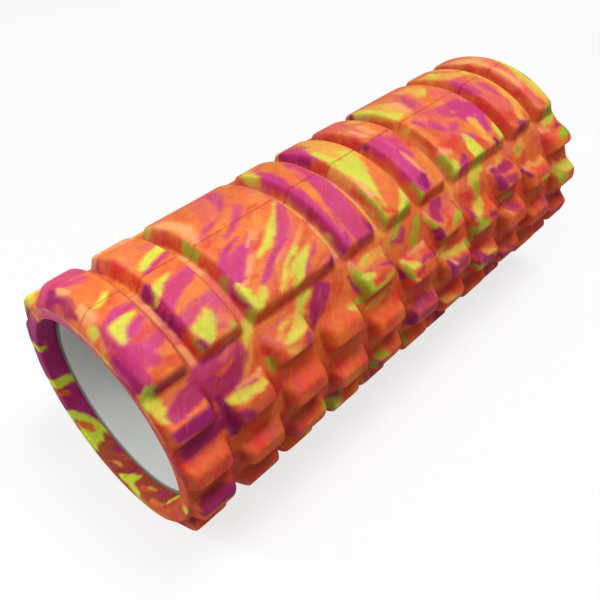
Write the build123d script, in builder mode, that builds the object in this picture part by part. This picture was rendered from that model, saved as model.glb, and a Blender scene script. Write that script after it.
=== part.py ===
from build123d import *
import os
from math import cos, sin, radians

# Hollow-core foam roller: a rigid tube bonded inside a sleeve of two foam
# halves, with raised blocks all round. Millimetres.
# Frame: origin at the centre of the roller, X along its axis, +Z up through
# the middle of the upper band of blocks, front towards -Y.
# Angles are in degrees around X, from +Z towards -Y.

# Overall envelope
LENGTH = 330.0  # end face to end face
END = LENGTH / 2
R_TOP = 69.0  # radius over the raised blocks
R_FLOOR = 62.0  # radius at the bottom of the channels
R_SINK = 60.5  # blocks are rooted this deep in the sleeve wall

# Core tube and the adhesive film around it
TUBE_R = 54.0
TUBE_WALL = 2.7
TUBE_RECESS = 10.0  # from each end face of the sleeve
TUBE_LENGTH = LENGTH - 2 * TUBE_RECESS
TUBE_CHAMFER = 0.5
BOND = 0.3  # film thickness
BOND_MARGIN = 2.0  # the film stops this short of each tube end
SLEEVE_BORE_R = TUBE_R + BOND

# Butt seams between the sleeve halves, in the XZ plane
SEAM_GAP = 0.3
GLUE_BORE_MARGIN = 0.2  # glue line held clear of the bore,
GLUE_FLOOR_MARGIN = 0.8  # of the channel floor
GLUE_END_MARGIN = 1.5  # and of each end face

# Axial rhythm of the blocks. A wall run is the axial distance that a
# drafted wall covers between R_TOP and R_FLOOR.
PITCH = 30.6
COLUMNS = 11
LAST_COLUMN = COLUMNS - 1
MIDDLE_COLUMN = COLUMNS // 2
# (length at R_TOP, wall run, wall run at the end faces of the roller)
BAND_AXIAL = (20.2, 2.9, 6.0)
NUB_AXIAL = (19.2, 3.4, 2.6)

# Upper and lower bands: (first, last) column covered by each block
BAND_GROUPS = [(0, 0), (1, 1), (2, 3), (4, 4), (5, 5), (6, 6), (7, 8), (9, 9), (10, 10)]
BAND_TOP = 36.5  # half angle of a band block at R_TOP
BAND_BASE = 40.5  # half angle at R_FLOOR

# Rows of small blocks (nubs) on the front, from the upper band down:
# angles of (near base, near top, far top, far base), bases at R_FLOOR and
# tops at R_TOP. The first row stands on columns 0, 2, 4..., the next on
# columns 1, 3, 5..., and so on in turn. Walls that face a band have more draft.
NUB_ROWS = [
    (45.5, 52.7, 59.0, 62.2),
    (56.0, 61.7, 69.0, 72.4),
    (69.0, 73.5, 81.0, 84.2),
    (81.8, 84.8, 92.6, 95.6),
    (93.0, 96.0, 103.6, 107.0),
    (104.2, 107.4, 115.0, 119.2),
    (115.4, 118.8, 125.8, 131.8),
]

# Softening of the blocks
TOP_FILLET = 1.6
CORNER_FILLET = 2.2

# A block is cut from a prism that overshoots its finished form
WALL_OVERSHOOT = 4.0  # side walls run on past R_TOP
PEAK_OVERSHOOT = 14.0  # ridge of the prism above R_TOP
AXIAL_OVERSHOOT = 3.0  # past the foot of each end wall


def at(radius, angle):
    """Point (y, z) of the cross-section."""
    return (-radius * sin(radians(angle)), radius * cos(radians(angle)))


def column_x(column):
    return (column - LAST_COLUMN / 2) * PITCH


def wall_point(base_angle, top_angle, radius):
    """Point (y, z) at about the radius, on the straight wall from R_FLOOR to R_TOP."""
    base, top = at(R_FLOOR, base_angle), at(R_TOP, top_angle)
    share = (radius - R_FLOOR) / (R_TOP - R_FLOOR)
    return (base[0] + (top[0] - base[0]) * share, base[1] + (top[1] - base[1]) * share)


def axial_profile(x0, x1, run0, run1):
    """Trapezoid (x, radius) that a block fills along the axis."""
    root = (R_TOP - R_SINK) / (R_TOP - R_FLOOR)
    return [
        (x0 - run0 * root, R_SINK),
        (x0, R_TOP),
        (x1, R_TOP),
        (x1 + run1 * root, R_SINK),
    ]


def angular_profile(near_base, near_top, far_top, far_base):
    """Section (y, z) of the prism that a block is cut from."""
    return [
        wall_point(near_base, near_top, R_SINK),
        wall_point(near_base, near_top, R_TOP + WALL_OVERSHOOT),
        at(R_TOP + PEAK_OVERSHOOT, (near_top + far_top) / 2),
        wall_point(far_base, far_top, R_TOP + WALL_OVERSHOOT),
        wall_point(far_base, far_top, R_SINK),
    ]


def axis_distance(point):
    return (point.Y ** 2 + point.Z ** 2) ** 0.5


def crown_edges(part):
    """Edges lying wholly on the outer cylinder."""
    return [
        edge for edge in part.edges()
        if all(abs(axis_distance(edge @ t) - R_TOP) < 0.02 for t in (0.0, 0.5, 1.0))
    ]


def corner_edges(part):
    """The four rising edges where two walls of a block meet."""
    corners = []
    for edge in part.edges():
        low, high = sorted(axis_distance(edge @ t) for t in (0.0, 1.0))
        if abs(high - R_TOP) < 0.05 and low < R_FLOOR + 1.0:
            corners.append(edge)
    return corners


def axial_limits(first, last, top_length, wall_run, end_run):
    """Top limits and wall runs (x0, x1, run0, run1) of a block over these columns."""
    x0, run0 = column_x(first) - top_length / 2, wall_run
    x1, run1 = column_x(last) + top_length / 2, wall_run
    if first == 0:
        x0, run0 = -END + end_run, end_run
    if last == LAST_COLUMN:
        x1, run1 = END - end_run, end_run
    return x0, x1, run0, run1


def block(limits, angles):
    """One raised block with drafted walls and softened corners."""
    x0, x1, run0, run1 = limits
    start = x0 - run0 - AXIAL_OVERSHOOT
    stop = x1 + run1 + AXIAL_OVERSHOOT
    with BuildPart() as solid:
        with BuildSketch(Plane.YZ.offset(start)):
            with BuildLine():
                Polyline(*angular_profile(*angles), close=True)
            make_face()
        extrude(amount=stop - start)
        with BuildSketch(Plane.XZ):
            with BuildLine():
                Polyline(*axial_profile(*limits), close=True)
            make_face()
        revolve(axis=Axis.X, revolution_arc=360, mode=Mode.INTERSECT)
        # the corners are rounded first, so the crown fillet follows them
        fillet(corner_edges(solid.part), CORNER_FILLET)
        fillet(crown_edges(solid.part), TOP_FILLET)
        # nothing stands past the end faces
        Box(LENGTH, 4 * R_TOP, 4 * R_TOP, mode=Mode.INTERSECT)
    return solid.part


def with_half_turn(blocks):
    """The blocks, then the same again half a turn round the axis."""
    return blocks + [item.rotate(Axis.X, 180) for item in blocks]


def make_band_blocks():
    """Blocks of the upper band, repeated on the lower band."""
    angles = (-BAND_BASE, -BAND_TOP, BAND_TOP, BAND_BASE)
    return with_half_turn([
        block(axial_limits(first, last, *BAND_AXIAL), angles) for first, last in BAND_GROUPS
    ])


def make_nub_blocks():
    """Staggered small blocks of the front, repeated on the back."""
    nubs = []
    for i, angles in enumerate(NUB_ROWS):
        middle = block(axial_limits(MIDDLE_COLUMN, MIDDLE_COLUMN, *NUB_AXIAL), angles)
        for column in range(i % 2, COLUMNS, 2):
            if column in (0, LAST_COLUMN):
                nub = block(axial_limits(column, column, *NUB_AXIAL), angles)
            else:
                nub = middle.moved(Location((column_x(column), 0, 0)))
            nubs.append(nub)
    return with_half_turn(nubs)


def make_sleeve():
    """The whole sleeve, before it is parted at the seams."""
    blocks = make_band_blocks() + make_nub_blocks()
    with BuildPart() as sleeve:
        with BuildSketch(Plane.XZ):
            with BuildLine():
                Polyline((-END, SLEEVE_BORE_R), (-END, R_FLOOR), (END, R_FLOOR),
                         (END, SLEEVE_BORE_R), close=True)
            make_face()
        revolve(axis=Axis.X, revolution_arc=360)
        add(blocks)
    return sleeve.part


def make_foam_half(sleeve, offset, keep):
    """One side of the sleeve. Offset and Keep.TOP both point to the front, -Y."""
    with BuildPart() as half:
        add(sleeve)
        split(bisect_by=Plane.XZ.offset(offset), keep=keep)
    return half.part


def make_core_tube():
    """Rigid tube with eased rims."""
    with BuildPart() as tube:
        with BuildSketch(Plane.YZ.offset(-TUBE_LENGTH / 2)):
            Circle(TUBE_R)
            Circle(TUBE_R - TUBE_WALL, mode=Mode.SUBTRACT)
        extrude(amount=TUBE_LENGTH)
        chamfer(tube.edges().filter_by(GeomType.CIRCLE), TUBE_CHAMFER)
    return tube.part


def make_bond_film():
    """Adhesive film between the tube and the sleeve."""
    with BuildPart() as film:
        with BuildSketch(Plane.YZ.offset(-TUBE_LENGTH / 2 + BOND_MARGIN)):
            Circle(SLEEVE_BORE_R)
            Circle(TUBE_R, mode=Mode.SUBTRACT)
        extrude(amount=TUBE_LENGTH - 2 * BOND_MARGIN)
    return film.part


def make_seam_glue(side):
    """Glue line of one butt seam: side is 1 for the top, -1 for the bottom."""
    inner = SLEEVE_BORE_R + GLUE_BORE_MARGIN
    outer = R_FLOOR - GLUE_FLOOR_MARGIN
    with BuildPart() as glue:
        with BuildSketch(Plane.XZ.offset(-SEAM_GAP / 2)):
            with Locations((0, side * (inner + outer) / 2)):
                Rectangle(LENGTH - 2 * GLUE_END_MARGIN, outer - inner)
        extrude(amount=SEAM_GAP)
    return glue.part


sleeve_part = make_sleeve()
pieces = {
    "core_tube": make_core_tube(),
    "bond_film": make_bond_film(),
    "foam_half_front": make_foam_half(sleeve_part, SEAM_GAP / 2, Keep.TOP),
    "foam_half_back": make_foam_half(sleeve_part, -SEAM_GAP / 2, Keep.BOTTOM),
    "seam_glue_top": make_seam_glue(1),
    "seam_glue_bottom": make_seam_glue(-1),
}

os.makedirs("parts", exist_ok=True)
for name, piece in pieces.items():
    piece.label = name
    export_step(piece, f"parts/{name}.step")
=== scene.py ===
"""Marbled foam sleeve with raised bands and small blocks, on a grey core tube.

The axis lies along X, centred on the origin, and +Z is up. The sleeve comes in two
halves that butt at the top and bottom: front is on -Y, back on +Y. The camera stands
on the -X, -Y side, so "near" means towards -X. Shape sizes are in mm and degrees;
phi runs around the axis from +Z (0) towards -Y (90).
"""
import bmesh
import bpy
import numpy as np
from mathutils import Matrix, Vector


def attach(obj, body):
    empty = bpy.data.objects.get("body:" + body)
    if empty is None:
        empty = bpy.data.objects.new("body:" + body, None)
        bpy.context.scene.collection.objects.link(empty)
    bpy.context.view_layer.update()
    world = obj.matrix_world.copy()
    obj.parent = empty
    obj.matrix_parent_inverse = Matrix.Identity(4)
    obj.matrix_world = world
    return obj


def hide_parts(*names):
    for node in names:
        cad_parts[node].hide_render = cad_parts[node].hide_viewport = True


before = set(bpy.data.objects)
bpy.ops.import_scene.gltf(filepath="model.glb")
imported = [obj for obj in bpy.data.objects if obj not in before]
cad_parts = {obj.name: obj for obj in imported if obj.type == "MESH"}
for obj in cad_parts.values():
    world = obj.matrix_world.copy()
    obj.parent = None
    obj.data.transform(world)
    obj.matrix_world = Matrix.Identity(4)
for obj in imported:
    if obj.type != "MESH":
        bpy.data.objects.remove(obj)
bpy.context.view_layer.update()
MM = 0.001

# ------------------------------------------------------------------ sizes
HALF_LEN = 165.0        # sleeve, from its middle to either end face
TOP_R = 69.0            # tops of the bands and blocks
FLOOR_R = 62.0          # floor of the channels
BORE_R = 54.3
TUBE_R, TUBE_WALL, TUBE_HALF_LEN = 54.0, 2.7, 155.0
BLOCK_H = TOP_R - FLOOR_R
SKIN_R = 66.0           # middling radius that turns angles into arc lengths
RIM_R = 1.3             # rounding of the outer rim at the end faces
MOUTH_ROUND = 0.6       # the end faces stop this far outside the bore
SEAM_HALF = 0.03        # half the gap between the two halves

PITCH, COLUMNS = 30.6, 11
BAND_RUN = 2.9          # how far a band wall runs out along x on its way down
WALL_SLOPE = BLOCK_H / BAND_RUN
BAND_TOP, BAND_BASE = 36.5, 40.5     # phi of the band's side edges, from the seam
BAND_ROW = (-BAND_BASE, -BAND_TOP, BAND_TOP, BAND_BASE)
# first and last column of each band block
BAND_GROUPS = [(0, 0), (1, 1), (2, 3), (4, 4), (5, 5), (6, 6), (7, 8), (9, 9), (10, 10)]
# small blocks, phi of: lower base, lower top edge, upper top edge, upper base
NUB_ROWS = [
    (45.5, 52.7, 59.0, 62.2), (56.0, 61.7, 69.0, 72.4), (69.0, 73.5, 81.0, 84.2),
    (81.8, 84.8, 92.6, 95.6), (93.0, 96.0, 103.6, 107.0), (104.2, 107.4, 115.0, 119.2),
    (115.4, 118.8, 125.8, 131.8)]


# ------------------------------------------------------------------ noise
def lattice(ix, iy, iz, seed):
    """A fixed random value in -1..1 for each lattice point."""
    n = (ix * 374761393 + iy * 668265263 + iz * 2147483647 + seed * 1274126177) & 0xFFFFFFFF
    n = ((n ^ (n >> 13)) * 1274126177) & 0xFFFFFFFF
    n = ((n ^ (n >> 15)) * 2246822519) & 0xFFFFFFFF
    return ((n ^ (n >> 16)) & 0xFFFFFF) / float(0xFFFFFF) * 2 - 1


def noise3(x, y, z, seed):
    """Smooth value noise in -1..1, the same on every run."""
    cells = [np.floor(c).astype(np.int64) for c in (x, y, z)]
    parts = [c - cell for c, cell in zip((x, y, z), cells)]
    fx, fy, fz = [f * f * f * (f * (f * 6 - 15) + 10) for f in parts]
    ix, iy, iz = cells
    total = 0
    for dx in (0, 1):
        for dy in (0, 1):
            for dz in (0, 1):
                weight = (fx if dx else 1 - fx) * (fy if dy else 1 - fy) * (fz if dz else 1 - fz)
                total = total + weight * lattice(ix + dx, iy + dy, iz + dz, seed)
    return total


def noise_at(point, size, seed):
    """Noise at a point (x, y, z) with cells of the given size."""
    x, y, z = point
    return noise3(x / size, y / size, z / size, seed)


# ------------------------------------------------------------------ height field
def soft_min(a, b, reach):
    overlap = np.maximum(reach - np.abs(a - b), 0.0)
    return np.minimum(a, b) - overlap * overlap / (4 * reach)


def soft_max(a, b, reach):
    return -soft_min(-a, -b, reach)


def column_x(column):
    return (column - 5) * PITCH


def block_span(first, last, end_run, length, run):
    """Top start and stop in x, and the runs of the walls beyond them."""
    start, start_run = column_x(first) - length / 2, run
    stop, stop_run = column_x(last) + length / 2, run
    if first == 0:
        start, start_run = -HALF_LEN + end_run, end_run
    if last == COLUMNS - 1:
        stop, stop_run = HALF_LEN - end_run, end_run
    return start, stop, start_run, stop_run


BAND_SPANS = [block_span(first, last, end_run=6.0, length=20.2, run=BAND_RUN)
              for first, last in BAND_GROUPS]
# even rows sit on the even columns, odd rows on the odd ones
NUB_SPANS = [[block_span(k, k, end_run=2.6, length=19.2, run=3.4)
              for k in range(parity, COLUMNS, 2)] for parity in (0, 1)]


def side_wall_height(angle, base, top):
    """Height of the straight wall from phi base on the floor to phi top."""
    near = np.clip(angle, min(base, top) - 3, max(base, top) + 3)
    base_turn, top_turn = np.radians(base), np.radians(top)
    base_y, base_z = np.sin(base_turn) * FLOOR_R, np.cos(base_turn) * FLOOR_R
    rise_y = np.sin(top_turn) * TOP_R - base_y
    rise_z = np.cos(top_turn) * TOP_R - base_z
    turn = np.radians(near)
    r = (base_y * rise_z - base_z * rise_y) / (np.sin(turn) * rise_z - np.cos(turn) * rise_y)
    return (r - FLOOR_R) + (angle - near) * BLOCK_H / (top - base)


def block_height(x, angle, span, row):
    start, stop, start_run, stop_run = span
    base0, top0, top1, base1 = row
    end_walls = np.minimum((x - (start - start_run)) * BLOCK_H / start_run,
                           ((stop + stop_run) - x) * BLOCK_H / stop_run)
    side_walls = np.minimum(side_wall_height(angle, base0, top0),
                            side_wall_height(angle, base1, top1))
    corners = soft_min(end_walls / WALL_SLOPE, side_walls / WALL_SLOPE, reach=2.5)
    return soft_min(corners * WALL_SLOPE, BLOCK_H, reach=2.1)


def raise_blocks(h, x, angle, mask, spans, row):
    """Raise h, where mask holds, to one row of blocks."""
    row_x, row_angle = x[mask], angle[mask]
    row_h = np.full(row_x.shape, -3.0)
    for span in spans:
        start, stop, start_run, stop_run = span
        near = (row_x > start - start_run - 3) & (row_x < stop + stop_run + 3)
        if near.any():
            block = block_height(row_x[near], row_angle[near], span, row)
            row_h[near] = np.maximum(row_h[near], block)
    h[mask] = np.maximum(h[mask], row_h)


def height(x, phi):
    """Height over the channel floor; both halves read the same function."""
    x, phi = np.broadcast_arrays(np.asarray(x, float), np.asarray(phi, float))
    half_phi = phi % 180.0
    from_seam = np.minimum(half_phi, 180.0 - half_phi)
    h = np.full(x.shape, -3.0)
    raise_blocks(h, x, from_seam, from_seam < BAND_BASE + 8, BAND_SPANS, BAND_ROW)
    for i, row in enumerate(NUB_ROWS):
        mask = (half_phi > row[0] - 5) & (half_phi < row[3] + 5)
        raise_blocks(h, x, half_phi, mask, NUB_SPANS[i % 2], row)
    return soft_max(h, 0.0, reach=1.5)


# ------------------------------------------------------------------ marbling tables
ARC = 1.19       # mm of arc per degree on the unrolled sleeve
RING_ARC = 0.96  # the same on the end faces and the bore
FLOW = 52.0      # lean of the fine streaks off the axis, degrees

# linear colours of the foam, by the letter that the stroke tables use
COLOURS = {letter: np.array(rgb) for letter, rgb in {
    "O": (0.872, 0.214, 0.044),    # orange
    "R": (0.76, 0.098, 0.032),     # red-orange
    "P": (0.95, 0.40, 0.155),      # peach
    "S": (0.81, 0.150, 0.108),     # salmon
    "K": (0.90, 0.44, 0.070),      # gold
    "M": (0.62, 0.040, 0.195),     # magenta
    "D": (0.33, 0.008, 0.130),     # deep purple
    "Y": (0.72, 0.70, 0.072),      # yellow-lime
    "G": (0.38, 0.48, 0.022),      # green
    "Q": (0.87, 0.128, 0.021),     # deep orange of the sides, with painted shade
    "B": (0.42, 0.050, 0.032),     # brown-red
    "N": (0.44, 0.022, 0.130),     # plum: magenta with painted shade, away from the crown
    "V": (0.43, 0.017, 0.175),     # violet
    "L": (0.68, 0.79, 0.044),      # lime
}.items()}


def read_strokes(table):
    """Turn a table into (letter, [(x, phi, half width), ...], softness) strokes."""
    strokes = []
    for line in table.strip().splitlines():
        if line.startswith("#"):
            continue
        head, stations = line.split(":")
        letter, softness = head.split()
        points = [tuple(float(v) for v in station.split()) for station in stations.split(",")]
        strokes.append((letter, points, float(softness)))
    return strokes
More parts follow.
